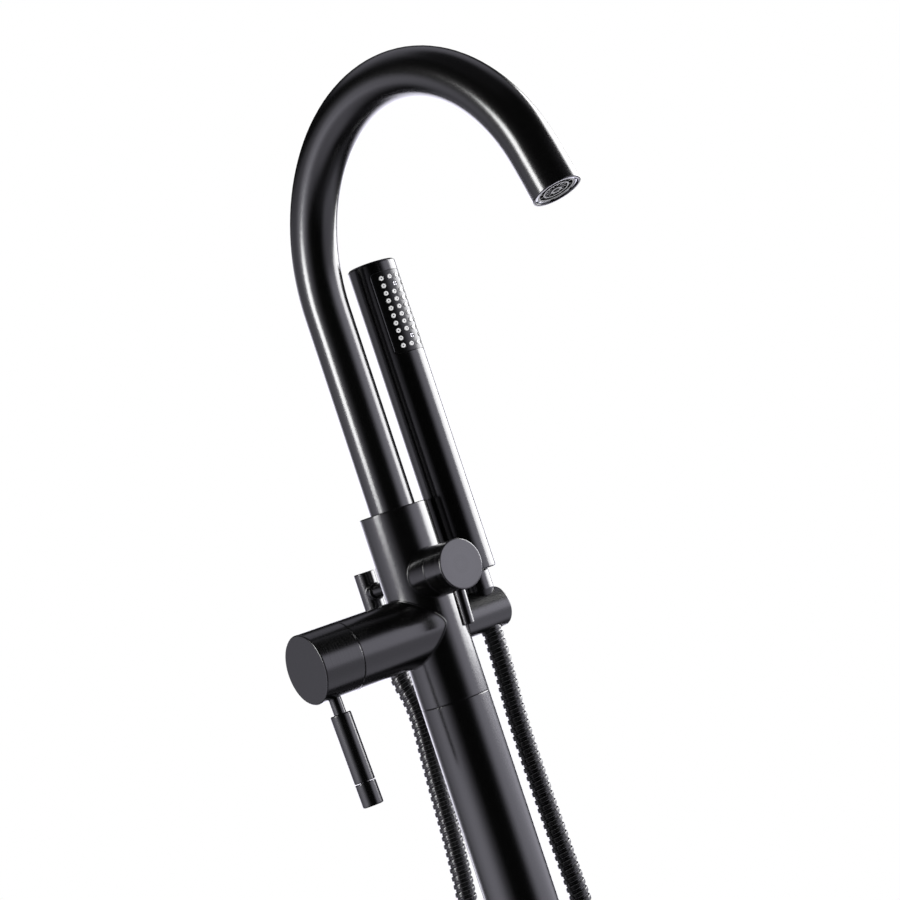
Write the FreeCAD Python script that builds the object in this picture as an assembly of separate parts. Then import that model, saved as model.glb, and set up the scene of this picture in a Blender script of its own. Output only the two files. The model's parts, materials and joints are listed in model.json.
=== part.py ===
import FreeCAD, Part
import math
import os

# Floor standing bath filler with a swivelling gooseneck spout, a lever mixer, a diverter knob
# and a stick handset on a hose. Millimetres. The origin is on the floor, on the column's axis.
# +Z is up, the lever arm points to -X, the diverter knob and the bath lie towards -Y,
# the handset hangs on the +X side and its hose leaves the back, +Y.

# ---- clearances ----
fit_gap = 0.05        # radial, between a piece and the seat it is fixed in
run_gap = 0.05        # radial, between a turning piece and its bore
body_gap = 0.3        # between pieces that pass each other
seat_gap = 0.15       # cone nut to its seat in the holder
plate_gap = 0.1       # around the spray plate and the nozzle mat

# ---- column and base ----
column_d = 45.0
column_wall = 1.5
collar_height = 858.0     # floor to the top of the mixer body
flange_d = 160.0
flange_t = 12.0
flange_spigot = 36.0      # how far the flange's spigot stands up inside the column
flange_spigot_wall = 3.65
supply_opening_d = 36.0
bolt_circle_d = 124.0
bolt_count = 4
bolt_hole_d = 9.0
cover_room = 8.0          # radial, between the base plate's rim and its cover
cover_height = 26.0
cover_wall = 2.0
cover_edge_r = 5.0
column_screw_d = 5.0
column_screw_height = 19.0
column_screw_count = 3
supply_pipe_d = 15.0
supply_pipe_wall = 1.0
supply_spacing = 19.0     # centre to centre
supply_end_height = 14.0  # lower end of the supply pipes above the floor
supply_socket_d = 13.5    # reamed lower end, for the supply's insert
supply_socket_depth = 25.0
pipe_socket_depth = 12.0
o_ring_d = 1.8            # cord diameter of every O-ring

# ---- mixer body ----
body_height = 126.4       # from its seam with the column to the collar's top
body_spigot = 25.0        # plugs into the column
edge = 0.5                # bevel on turned ends
seam_bevel = 0.25         # on both sides of the seam between body and column
seam = 0.3                # gap between a handle and the arm that carries it
waterway_d = 7.0

# ---- lever handle, on the arm towards -X ----
lever_drop = 77.1         # arm axis below the collar's top
arm_d = 44.4
arm_reach = 68.5
hub_length = 28.6
hub_wall = 2.7
lever_inset = 12.3        # lever axis behind the hub's face
lever_lean = 3.6          # degrees towards the bath, as the lever hangs at rest
stem_d = 8.0
stem_show = 9.8
stem_core_d = 6.0
stem_seat = 2.5           # depth of a lever's full diameter in its handle
grip_d = 13.4
grip_length = 43.5
grip_groove = 0.5
end_cap_length = 14.8
mixing_cartridge_d = 34.9
mixing_cartridge_length = 28.0
mixing_seat = 30.0        # seat floor from the column's axis
mixing_spindle_d = 10.0
mixing_nut_d = 38.0
mixing_nut_length = 8.0

# ---- diverter knob, on the boss towards -Y ----
knob_drop = 45.3
boss_d = 31.9
boss_reach = 34.0
knob_length = 18.7
knob_wall = 2.4
pin_inset = 10.5          # pin axis behind the knob's face
pin_lean = 2.6            # degrees towards the lever
pin_d = 8.0
pin_core_d = 5.0
pin_reach = 37.2          # pin tip from the knob's axis
diverter_cartridge_d = 23.9
diverter_cartridge_length = 22.0
diverter_seat = 4.0
diverter_spindle_d = 8.0
diverter_nut_d = 27.0
diverter_nut_length = 6.0
disc_t = 3.0              # each ceramic disc

# ---- spout ----
spout_d = 30.0
spout_wall = 1.5
spout_riser = 131.6       # collar's top to the start of the bend
spout_bend_r = 113.0
spout_bend_sweep = 164.8  # degrees
spout_nose = 25.2         # straight end after the bend
spout_turn = 4.7          # degrees the spout stands off the knob's direction
spout_insert = 12.0       # depth of the tube in the collar
foot_groove = 4.2
foot_ring_t = 1.4
foot_plug_d = 26.4
foot_plug_length = 9.0
foot_bore_d = 16.0
swivel_washer_t = 0.95
spout_screw_d = 4.0
aerator_length = 12.0
aerator_recess = 0.6
aerator_wall = 1.4
aerator_notches = 6
grille_t = 2.0
grille_spokes = 12

# ---- hose outlet, at the back ----
outlet_drop = 46.0
outlet_reach = 55.3
outlet_stem_d = 9.0
outlet_stem_bore = 5.0
elbow_d = 13.9
elbow_above = 14.0        # elbow's top above the stem's axis
elbow_below = 14.0        # from the stem's axis to the threaded end
elbow_bore = 8.0
thread_d = 20.6           # hose connection
thread_length = 10.0
hose_nut_d = 24.0
hose_nut_length = 15.0
nut_lap = 9.0             # how far the nut covers the thread
washer_t = 2.0
ferrule_flange_t = 2.0
ferrule_flange_d = 18.0
ferrule_wall = 1.0
ferrule_bore = 9.0
check_valve_length = 7.5
check_valve_d = 13.0

# ---- handset and its holder, towards +X ----
holder_drop = 80.0
holder_d = 26.4
holder_reach = 55.8
holder_stud_d = 8.0
handset_reach = 43.8
handset_d = 32.0
handset_wall = 2.2
handset_top = 156.0       # above the collar's top
handset_bottom_drop = 54.0
handset_bottom_t = 10.0
handset_edge = 1.2
spray_turn = 10.0         # degrees the spray face looks outward of the bath side
inlet_d = 16.6            # handset's threaded inlet
inlet_length = 9.0
cone_top_d = 20.8
cone_waist_d = 20.6
cone_seat_d = 16.6
cone_bottom_d = 15.8
cone_top_drop = 54.3
cone_waist_drop = 66.5
cone_seat_drop = 74.5
cone_bottom_drop = 90.0
hose_slot = 15.2          # slot at the back of the holder that lets the hose out
plate_height = 53.8
plate_below_top = 8.0     # spray plate's upper edge below the handset's top
plate_width = 25.9
plate_corner = 2.0
plate_t = 1.5
mat_t = 1.8
mat_margin = 2.0
nozzle_rows = 10
nozzle_columns = 4
nozzle_pitch = 5.05
nozzle_angle = 21.4       # degrees between columns
nozzle_d = 3.0
nozzle_tip_d = 2.6
nozzle_stand = 0.8        # nozzle tips stand proud of the plate
nozzle_hole_d = 0.9
screw_rows = (2, 9)       # the rows whose inner nozzles give way to screws
plate_screw_d = 2.0
plate_screw_head_d = 3.6
cross_slot = 0.75         # width of the screws' cross recess
cross_depth = 1.0

# ---- shower hose ----
hose_d = 14.0
hose_valley_d = 12.4
hose_bore = 8.0
hose_ribs = 200
hose_end_plain = 3.0      # smooth band at each end
# centre line from the cone nut to the outlet nut, with heights above the floor
hose_route = [
    (43.8, 0.0, 768.0),
    (43.8, 0.0, 742.0),
    (42.2, 2.3, 706.0),
    (42.6, 1.4, 636.0),
    (46.5, 0.5, 522.0),
    (56.5, -9.5, 385.0),
    (63.0, -17.0, 250.0),
    (65.0, -20.5, 125.0),
    (31.5, 21.5, 70.0),
    (-11.5, 76.5, 71.0),
    (-44.0, 117.5, 126.0),
    (-40.5, 111.5, 254.0),
    (-26.0, 90.5, 396.0),
    (-8.5, 66.5, 520.0),
    (0.0, 55.9, 618.0),
    (2.2, 53.8, 688.0),
    (5.0, 51.9, 730.7),
    (0.0, 55.3, 756.0),
    (0.0, 55.3, 782.0),
]

# ---- places that follow ----
Vec = FreeCAD.Vector
UP = Vec(0, 0, 1)
OUT_LEVER = Vec(-1, 0, 0)
OUT_KNOB = Vec(0, -1, 0)
OUT_HOLDER = Vec(1, 0, 0)
OUT_BACK = Vec(0, 1, 0)

column_bore = column_d - 2 * column_wall
cover_d = flange_d + 2 * (cover_room + cover_wall)
seam_height = collar_height - body_height
lever_height = collar_height - lever_drop
knob_height = collar_height - knob_drop
holder_height = collar_height - holder_drop
outlet_height = collar_height - outlet_drop
hub_back = arm_reach + seam
hub_face = hub_back + hub_length
knob_back = boss_reach + seam
knob_face = knob_back + knob_length
lever_at = hub_face - lever_inset
pin_at = knob_face - pin_inset
spout_bore = spout_d - 2 * spout_wall
handset_axis = Vec(handset_reach, 0, 0)

nodes = {}


# ---- shape helpers ----
def point(x, y, z):
    return Vec(x, y, z)


def rod(diameter, start, end):
    """Cylinder between two points."""
    run = end - start
    return Part.makeCylinder(diameter / 2, run.Length, start, run)


def tube(outer, inner, start, end):
    return rod(outer, start, end).cut(rod(inner, start, end))


def placed(shape, base, axis):
    """Moves a shape made about +Z so that its axis runs along axis from base."""
    moved = shape.copy()
    moved.Placement = FreeCAD.Placement(base, FreeCAD.Rotation(UP, axis)).multiply(moved.Placement)
    return moved


def turned(outline, base=Vec(0, 0, 0), axis=UP):
    """Revolves a closed outline of (radius, height) points. A pair of points is an arc: via, end."""
    edges = []
    last = outline[0]
    for step in list(outline[1:]) + [outline[0]]:
        if isinstance(step[0], tuple):
            via, end = step
            arc = Part.Arc(Vec(last[0], 0, last[1]), Vec(via[0], 0, via[1]), Vec(end[0], 0, end[1]))
            edges.append(arc.toShape())
        else:
            end = step
            edges.append(Part.makeLine(Vec(last[0], 0, last[1]), Vec(end[0], 0, end[1])))
        last = end
    face = Part.Face(Part.Wire(edges))
    return placed(face.revolve(Vec(0, 0, 0), UP, 360), base, axis)


def o_ring(major_r, height, base=Vec(0, 0, 0), axis=UP):
    ring = Part.makeTorus(major_r, o_ring_d / 2 - fit_gap, Vec(0, 0, height), UP)
    return placed(ring, base, axis)


def spun(shape, count, start=0.0, centre=Vec(0, 0, 0), axis=UP):
    """Copies of a shape evenly round an axis."""
    copies = []
    for index in range(count):
        turn = shape.copy()
        turn.rotate(centre, axis, start + index * 360.0 / count)
        copies.append(turn)
    return copies


def hexagon(across_flats, height, base, axis):
    """Hexagonal prism, for a key's socket or a nut."""
    radius = across_flats / math.sqrt(3)
    corners = [Vec(radius * math.cos(k * math.pi / 3), radius * math.sin(k * math.pi / 3), 0) for k in range(7)]
    return placed(Part.Face(Part.makePolygon(corners)).extrude(Vec(0, 0, height)), base, axis)


def grub_screw(diameter, outer, inner, axis, centre):
    """Headless screw with a hexagon socket, from radius outer in to radius inner along axis."""
    body = rod(diameter - 2 * fit_gap, centre + axis * inner, centre + axis * outer)
    socket_depth = 0.45 * diameter
    return body.cut(hexagon(0.5 * diameter, socket_depth, centre + axis * (outer - socket_depth), axis))


# ---- base and column ----
def floor_flange():
    spigot_d = column_bore - 2 * fit_gap
    top = flange_t + flange_spigot
    opening = supply_opening_d / 2
    spigot_bore = spigot_d / 2 - flange_spigot_wall
    body = turned([
        (opening, 0), (flange_d / 2, 0), (flange_d / 2, flange_t - 1), (flange_d / 2 - 1, flange_t),
        (spigot_d / 2, flange_t), (spigot_d / 2, top - edge), (spigot_d / 2 - edge, top),
        (spigot_bore, top), (spigot_bore, flange_t), (opening, flange_t)])
    hole = rod(bolt_hole_d, point(bolt_circle_d / 2, 0, 0), point(bolt_circle_d / 2, 0, flange_t))
    body = body.cut(spun(hole, bolt_count, 180.0 / bolt_count))
    tapped = rod(column_screw_d, point(0, 0, column_screw_height), point(0, column_d, column_screw_height))
    return body.cut(spun(tapped, column_screw_count))


def column_tube():
    outer = column_d / 2
    inner = column_bore / 2
    body = turned([
        (inner, flange_t), (outer, flange_t), (outer, seam_height - seam_bevel),
        (outer - seam_bevel, seam_height), (inner, seam_height)])
    hole = rod(column_screw_d, point(0, 0, column_screw_height), point(0, column_d, column_screw_height))
    return body.cut(spun(hole, column_screw_count))


def column_screws():
    inner = column_bore / 2 - flange_spigot_wall + fit_gap
    screw = grub_screw(column_screw_d, column_d / 2, inner, OUT_BACK, point(0, 0, column_screw_height))
    return Part.makeCompound(spun(screw, column_screw_count))


def flange_cover():
    outer = cover_d / 2
    hole = column_d / 2 + body_gap
    bend = cover_edge_r
    slant = bend * (1 - math.sqrt(0.5))
    inner_bend = bend - cover_wall
    inner = outer - cover_wall
    under = cover_height - cover_wall
    inner_slant = inner_bend * (1 - math.sqrt(0.5))
    return turned([
        (inner, 0), (outer, 0), (outer, cover_height - bend),
        ((outer - slant, cover_height - slant), (outer - bend, cover_height)),
        (hole + edge, cover_height), (hole, cover_height - edge), (hole, under),
        (inner - inner_bend, under),
        ((inner - inner_slant, under - inner_slant), (inner, under - inner_bend))])


def supply_pipe(side):
    y = side * supply_spacing / 2
    top = seam_height - body_spigot + pipe_socket_depth - fit_gap
    low = supply_end_height
    pipe = tube(supply_pipe_d, supply_pipe_d - 2 * supply_pipe_wall, point(0, y, low), point(0, y, top))
    return pipe.cut(rod(supply_socket_d, point(0, y, low), point(0, y, low + supply_socket_depth)))


def pipe_seal_height():
    return seam_height - body_spigot + pipe_socket_depth / 2


def pipe_o_rings():
    major = supply_pipe_d / 2 + o_ring_d / 2
    rings = [o_ring(major, pipe_seal_height(), point(0, side * supply_spacing / 2, 0)) for side in (-1, 1)]
    return Part.makeCompound(rings)


# ---- mixer body ----
def spout_seat():
    """The stepped bore in the collar that the spout turns in."""
    step = spout_seat_depth()
    floor = collar_height - spout_seat_floor()
    wide = rod(spout_d + 2 * run_gap, point(0, 0, collar_height - step), point(0, 0, collar_height))
    narrow = rod(foot_plug_d + 2 * run_gap + 2 * fit_gap, point(0, 0, floor), point(0, 0, collar_height))
    return wide.fuse(narrow)


def spout_seat_depth():
    return spout_insert + 2 * foot_ring_t + foot_groove + run_gap + swivel_washer_t


def spout_seat_floor():
    return spout_seat_depth() + foot_plug_length


def cartridge_seat(cartridge_d, length, nut_d, nut_length, mouth):
    """Bore for a cartridge and its nut, along +Z from the seat's floor to the mouth."""
    bore = rod(cartridge_d + 2 * fit_gap, point(0, 0, 0), point(0, 0, mouth))
    return bore.fuse(rod(nut_d + 2 * fit_gap, point(0, 0, length), point(0, 0, mouth)))


def port_offset(cartridge_d):
    """Distance of a cartridge's ports from its axis."""
    return cartridge_d * 0.27


def waterways():
    """Drillings that join the supply sockets, the two cartridge seats, the spout seat and the outlet."""
    socket_top = seam_height - body_spigot + pipe_socket_depth
    past = waterway_d / 2 + 1.0
    mixed = lever_height + port_offset(mixing_cartridge_d)
    riser_d = waterway_d - 1.0
    ways = []
    for side in (-1, 1):
        y = side * supply_spacing / 2
        ways.append(rod(riser_d, point(0, y, socket_top - 1), point(0, y, lever_height)))
        ways.append(rod(waterway_d, point(-mixing_seat - 1, y, lever_height), point(past, y, lever_height)))
    ways.append(rod(waterway_d, point(-mixing_seat - 1, 0, mixed), point(past, 0, mixed)))
    lift = port_offset(diverter_cartridge_d)
    narrow_d = riser_d - 1.0
    start = -diverter_seat - 1.0
    feed = knob_height - lift
    rise = knob_height + lift
    ways.append(rod(narrow_d, point(0, 0, mixed), point(0, 0, feed)))
    ways.append(rod(riser_d, point(0, start, feed), point(0, past, feed)))
    ways.append(rod(riser_d, point(0, start, rise), point(0, past, rise)))
    ways.append(rod(narrow_d, point(0, 0, rise), point(0, 0, collar_height - spout_seat_floor() + 1)))
    crossing = outlet_socket() - 4.5
    ways.append(rod(narrow_d, point(lift, start, knob_height), point(lift, outlet_socket() - 1.0, knob_height)))
    ways.append(rod(riser_d, point(-riser_d / 2, crossing, outlet_height), point(lift, crossing, outlet_height)))
    ways.append(rod(outlet_stem_bore, point(0, crossing, outlet_height), point(0, outlet_socket() + 1, outlet_height)))
    return ways


def outlet_socket():
    """Inner end of the hose outlet's socket, from the column's axis."""
    return column_d / 2 - 9.0


def holder_stud_inner():
    return column_d / 2 - 9.5


def spout_screw_height():
    return collar_height - spout_insert - foot_ring_t - foot_groove / 2


def mixer_body():
    spigot_d = column_bore - 2 * fit_gap
    bottom = seam_height - body_spigot
    barrel = turned([
        (0, bottom), (spigot_d / 2 - edge, bottom), (spigot_d / 2, bottom + edge), (spigot_d / 2, seam_height),
        (column_d / 2 - seam_bevel, seam_height), (column_d / 2, seam_height + seam_bevel),
        (column_d / 2, collar_height - edge),
        (column_d / 2 - edge, collar_height), (0, collar_height)])
    arm = rod(arm_d, point(0, 0, lever_height), point(-arm_reach, 0, lever_height))
    boss = rod(boss_d, point(0, 0, knob_height), point(0, -boss_reach, knob_height))
    body = barrel.fuse([arm, boss])
    holes = [spout_seat()]
    holes.append(placed(
        cartridge_seat(mixing_cartridge_d, mixing_cartridge_length, mixing_nut_d, mixing_nut_length,
                       arm_reach - mixing_seat), point(-mixing_seat, 0, lever_height), OUT_LEVER))
    holes.append(placed(
        cartridge_seat(diverter_cartridge_d, diverter_cartridge_length, diverter_nut_d, diverter_nut_length,
                       boss_reach - diverter_seat), point(0, -diverter_seat, knob_height), OUT_KNOB))
    socket = supply_pipe_d + 2 * fit_gap
    for side in (-1, 1):
        y = side * supply_spacing / 2
        holes.append(rod(socket, point(0, y, bottom), point(0, y, bottom + pipe_socket_depth)))
        groove_d = supply_pipe_d + 2 * o_ring_d
        half = o_ring_d / 2 + fit_gap
        holes.append(rod(groove_d, point(0, y, pipe_seal_height() - half), point(0, y, pipe_seal_height() + half)))
    holes.append(rod(outlet_stem_d + 2 * fit_gap, point(0, outlet_socket(), outlet_height),
                     point(0, column_d, outlet_height)))
    holes.append(rod(holder_stud_d + 2 * fit_gap, point(holder_stud_inner(), 0, holder_height),
                     point(column_d, 0, holder_height)))
    holes.append(rod(spout_screw_d, point(0, 0, spout_screw_height()), point(0, column_d, spout_screw_height())))
    return body.cut(holes + waterways())


# ---- cartridges: along +Z from the seat's floor ----
def disc_r(cartridge_d):
    return cartridge_d / 2 - 2.5


def cartridge_housing(cartridge_d, length, spindle_d):
    chamber = 2 * disc_t + 2 * run_gap + disc_t
    shell = rod(cartridge_d, point(0, 0, 0), point(0, 0, length))
    room = rod(2 * disc_r(cartridge_d) + 2 * run_gap, point(0, 0, 0), point(0, 0, chamber))
    return shell.cut([room, rod(spindle_d + 2 * run_gap, point(0, 0, 0), point(0, 0, length))])


def fixed_disc(cartridge_d):
    """Ceramic disc on the seat's floor, with its ports."""
    disc = rod(2 * disc_r(cartridge_d), point(0, 0, 0), point(0, 0, disc_t))
    port = rod(cartridge_d * 0.17, point(port_offset(cartridge_d), 0, 0), point(port_offset(cartridge_d), 0, disc_t))
    return disc.cut(spun(port, 4))


def moving_disc(cartridge_d):
    """Ceramic disc that the spindle turns, with the pocket that joins two ports."""
    low = disc_t + run_gap
    disc = rod(2 * disc_r(cartridge_d) - 2 * run_gap, point(0, 0, low), point(0, 0, low + disc_t))
    width = cartridge_d * 0.2
    pocket = Part.makeBox(width, 2 * port_offset(cartridge_d) + width, disc_t / 2,
                          point(-width / 2, -port_offset(cartridge_d) - width / 2, low))
    return disc.cut(pocket)


def spindle(cartridge_d, spindle_d, tip):
    """Drive plate over the moving disc, and the shaft out to the handle."""
    low = 2 * disc_t + run_gap
    plate = rod(2 * disc_r(cartridge_d) - 2 * run_gap, point(0, 0, low), point(0, 0, low + disc_t - fit_gap))
    shaft = turned([(0, low), (spindle_d / 2, low), (spindle_d / 2, tip - edge), (spindle_d / 2 - edge, tip), (0, tip)])
    return plate.fuse(shaft)


def cartridge_nut(nut_d, spindle_d, length, nut_length):
    """Ring that holds the cartridge down, with key slots."""
    inner = spindle_d + 5.0
    ring = tube(nut_d, inner, point(0, 0, length), point(0, 0, length + nut_length))
    slot = Part.makeBox(nut_d, 3.0, 2.0, point(0, -1.5, length + nut_length - 2.0))
    return ring.cut(spun(slot, 4))


def cartridge(prefix, cartridge_d, length, spindle_d, nut_d, nut_length, tip, base, axis):
    nodes[prefix + "_cartridge"] = placed(cartridge_housing(cartridge_d, length, spindle_d), base, axis)
    nodes[prefix + "_fixed_disc"] = placed(fixed_disc(cartridge_d), base, axis)
    nodes[prefix + "_moving_disc"] = placed(moving_disc(cartridge_d), base, axis)
    nodes[prefix + "_spindle"] = placed(spindle(cartridge_d, spindle_d, tip), base, axis)
    nodes[prefix + "_nut"] = placed(cartridge_nut(nut_d, spindle_d, length, nut_length), base, axis)


# ---- handles ----
def handle_shell(diameter, back, face, wall, spindle_d, spindle_end):
    """Turned handle, open at the back round a boss for the spindle, along +Z from the column's axis."""
    outer = diameter / 2
    hollow = back + 0.42 * (face - back)
    boss = spindle_d / 2 + 3.0
    bore = spindle_d / 2 + fit_gap
    return turned([
        (bore, back), (boss, back), (boss, hollow), (outer - wall, hollow), (outer - wall, back),
        (outer, back), (outer, face - edge), (outer - edge, face), (0, face), (0, spindle_end + 0.5),
        (bore, spindle_end + 0.5)])


def radial_frame(along, height, axis, lean):
    """Start and direction of a lever that hangs from a handle's axis, swung by lean degrees."""
    base = axis * along + Vec(0, 0, height)
    down = FreeCAD.Rotation(axis, lean).multVec(Vec(0, 0, -1))
    return base, down


def handle_hub():
    tip = lever_at + 4.0
    hub = placed(handle_shell(arm_d, hub_back, hub_face, hub_wall, mixing_spindle_d, tip),
                 point(0, 0, lever_height), OUT_LEVER)
    base, down = radial_frame(lever_at, lever_height, OUT_LEVER, lever_lean)
    core = rod(stem_core_d + 2 * fit_gap, base + down * (mixing_spindle_d / 2), base + down * arm_d)
    recess = rod(stem_d + 2 * fit_gap, base + down * (arm_d / 2 - stem_seat), base + down * arm_d)
    return hub.cut([core, recess])


def lever_stem():
    start = mixing_spindle_d / 2 + fit_gap
    show = arm_d / 2 + stem_show
    thick_end = show + 2.0
    end = show + grip_length + grip_groove + end_cap_length * 0.6
    base, down = radial_frame(lever_at, lever_height, OUT_LEVER, lever_lean)
    core = stem_core_d / 2
    full = stem_d / 2
    return turned([
        (0, start), (core, start), (core, arm_d / 2 - stem_seat + fit_gap), (full, arm_d / 2 - stem_seat + fit_gap),
        (full, thick_end), (core, thick_end), (core, end), (0, end)], base, down)


def lever_grip():
    top = arm_d / 2 + stem_show
    bottom = top + grip_length
    base, down = radial_frame(lever_at, lever_height, OUT_LEVER, lever_lean)
    outer = grip_d / 2
    core = stem_core_d / 2 + fit_gap
    full = stem_d / 2 + fit_gap
    return turned([
        (full, top), (outer - edge, top), (outer, top + edge), (outer, bottom - edge / 2),
        (outer - edge / 2, bottom), (core, bottom), (core, top + 2.0 + fit_gap), (full, top + 2.0 + fit_gap)], base, down)


def lever_end_cap():
    top = arm_d / 2 + stem_show + grip_length + grip_groove
    bottom = top + end_cap_length
    base, down = radial_frame(lever_at, lever_height, OUT_LEVER, lever_lean)
    outer = grip_d / 2
    core = stem_core_d / 2 + fit_gap
    depth = top + end_cap_length * 0.6
    return turned([
        (core, top), (outer - edge / 2, top), (outer, top + edge / 2), (outer, bottom - edge),
        (outer - edge, bottom), (0, bottom), (0, depth), (core, depth)], base, down)


def diverter_knob():
    tip = pin_at + 3.5
    knob = placed(handle_shell(boss_d, knob_back, knob_face, knob_wall, diverter_spindle_d, tip),
                  point(0, 0, knob_height), OUT_KNOB)
    base, down = radial_frame(pin_at, knob_height, OUT_KNOB, -pin_lean)
    core = rod(pin_core_d + 2 * fit_gap, base + down * (diverter_spindle_d / 2), base + down * boss_d)
    recess = rod(pin_d + 2 * fit_gap, base + down * (boss_d / 2 - stem_seat), base + down * boss_d)
    return knob.cut([core, recess])


def diverter_pin():
    start = diverter_spindle_d / 2 + fit_gap
    shoulder = boss_d / 2 - stem_seat + fit_gap
    base, down = radial_frame(pin_at, knob_height, OUT_KNOB, -pin_lean)
    return turned([
        (0, start), (pin_core_d / 2, start), (pin_core_d / 2, shoulder), (pin_d / 2, shoulder),
        (pin_d / 2, pin_reach - edge), (pin_d / 2 - edge, pin_reach), (0, pin_reach)], base, down)


# ---- spout ----
def spout_direction():
    return FreeCAD.Rotation(UP, spout_turn).multVec(OUT_KNOB)


def spout_end():
    """Centre of the outlet face and the direction the water leaves in."""
    forward = spout_direction()
    sweep = math.radians(spout_bend_sweep)
    bend_start = collar_height + spout_riser
    centre = forward * (spout_bend_r * (1 - math.cos(sweep))) + UP * (bend_start + spout_bend_r * math.sin(sweep))
    heading = UP * math.cos(sweep) + forward * math.sin(sweep)
    return centre + heading * spout_nose, heading


def spout_pipe(diameter, lower, extra):
    """Round bar along the gooseneck, from height lower to extra past the outlet face."""
    forward = spout_direction()
    bend_start = collar_height + spout_riser
    half = math.radians(spout_bend_sweep) / 2
    sweep = 2 * half

    def on_bend(angle):
        return forward * (spout_bend_r * (1 - math.cos(angle))) + UP * (bend_start + spout_bend_r * math.sin(angle))

    end, heading = spout_end()
    riser = Part.makeLine(point(0, 0, lower), on_bend(0))
    bend = Part.Arc(on_bend(0), on_bend(half), on_bend(sweep)).toShape()
    nose = Part.makeLine(on_bend(sweep), end + heading * extra)
    path = Part.Wire([riser, bend, nose])
    section = Part.Wire([Part.Circle(point(0, 0, lower), UP, diameter / 2).toShape()])
    return path.makePipeShell([section], True, False)


def spout_tube():
    bottom = collar_height - spout_insert
    outside = spout_pipe(spout_d, bottom, 0.0)
    inside = spout_pipe(spout_bore, bottom - 1.0, 1.0)
    return outside.cut(inside)


def foot_levels():
    """Heights of the foot's steps: tube end, groove top, groove bottom, ring bottom, plug bottom."""
    tube_end = collar_height - spout_insert
    groove_top = tube_end - foot_ring_t
    groove_bottom = groove_top - foot_groove
    ring_bottom = groove_bottom - foot_ring_t
    return tube_end, groove_top, groove_bottom, ring_bottom, ring_bottom - foot_plug_length


def seal_heights():
    levels = foot_levels()
    return [levels[3] - foot_plug_length * share for share in (0.3, 0.72)]


def spout_foot():
    tube_end, groove_top, groove_bottom, ring_bottom, bottom = foot_levels()
    outer = spout_d / 2
    neck = outer - 2.0
    bore = foot_bore_d / 2
    plug_in_tube = spout_bore / 2 - fit_gap
    foot = turned([
        (bore, bottom), (foot_plug_d / 2 - edge, bottom), (foot_plug_d / 2, bottom + edge),
        (foot_plug_d / 2, ring_bottom), (outer, ring_bottom), (outer, groove_bottom), (neck, groove_bottom),
        (neck, groove_top), (outer, groove_top), (outer, tube_end), (plug_in_tube, tube_end),
        (plug_in_tube, tube_end + spout_insert), (bore, tube_end + spout_insert)])
    grooves = []
    for height in seal_heights():
        half = o_ring_d / 2 + fit_gap
        inner = foot_plug_d - 2 * o_ring_d
        grooves.append(tube(foot_plug_d + 2, inner, point(0, 0, height - half), point(0, 0, height + half)))
    return foot.cut(grooves)


def spout_o_rings():
    major = foot_plug_d / 2 - o_ring_d / 2
    return Part.makeCompound([o_ring(major, height) for height in seal_heights()])


def swivel_washer():
    low = collar_height - spout_seat_depth()
    return tube(spout_d, foot_plug_d + 4 * run_gap + 2 * fit_gap, point(0, 0, low), point(0, 0, low + swivel_washer_t))


def spout_screw():
    tip = spout_d / 2 - 2.0 + body_gap
    return grub_screw(spout_screw_d - 2 * fit_gap, column_d / 2 - edge, tip, OUT_BACK, point(0, 0, spout_screw_height()))


def aerator_housing():
    """Threaded ring in the spout's mouth, notched for its key. Along +Z, the outlet face at 0."""
    outer = spout_bore / 2 - fit_gap
    inner = outer - aerator_wall
    low = -aerator_length
    high = -aerator_recess
    ring = turned([(inner, low), (outer, low), (outer, high - edge), (outer - edge, high), (inner, high)])
    notch = Part.makeBox(2 * aerator_wall, 3.2, 1.2, point(inner - fit_gap, -1.6, high - 1.2))
    return ring.cut(spun(notch, aerator_notches))


def aerator_insert():
    """Grille of rings and spokes in the housing, with a cup behind it."""
    outer = spout_bore / 2 - 2 * fit_gap - aerator_wall
    high = -aerator_recess - 0.4
    low = high - grille_t
    rim = outer - 1.6
    ring_r = rim * 0.78
    hub = rim * 0.32
    parts = [tube(2 * outer, 2 * rim, point(0, 0, low - 5.0), point(0, 0, high))]
    parts.append(tube(2 * ring_r, 2 * ring_r - 2.0, point(0, 0, low), point(0, 0, high)))
    parts.append(tube(2 * hub, 2 * hub - 2.4, point(0, 0, low), point(0, 0, high + 0.3)))
    spoke = Part.makeBox(rim - hub + 1.4, 0.8, grille_t - 0.4, point(hub - 0.8, -0.4, low))
    return parts[0].fuse(parts[1:] + spun(spoke, grille_spokes)).removeSplitter()


def aerator_washer():
    outer = spout_bore - 2 * fit_gap
    return tube(outer, outer - 7.0, point(0, 0, -aerator_length - washer_t), point(0, 0, -aerator_length))


# ---- hose outlet ----
def outlet_levels():
    """Heights of the elbow's thread top, thread end, and the hose nut's bottom."""
    shoulder = outlet_height - elbow_below
    thread_end = shoulder - thread_length
    nut_bottom = thread_end + nut_lap - hose_nut_length
    return shoulder, thread_end, nut_bottom


def outlet_stem():
    start = outlet_socket() + fit_gap
    end = outlet_reach - elbow_bore / 2
    return tube(outlet_stem_d, outlet_stem_bore, point(0, start, outlet_height), point(0, end, outlet_height))


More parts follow.
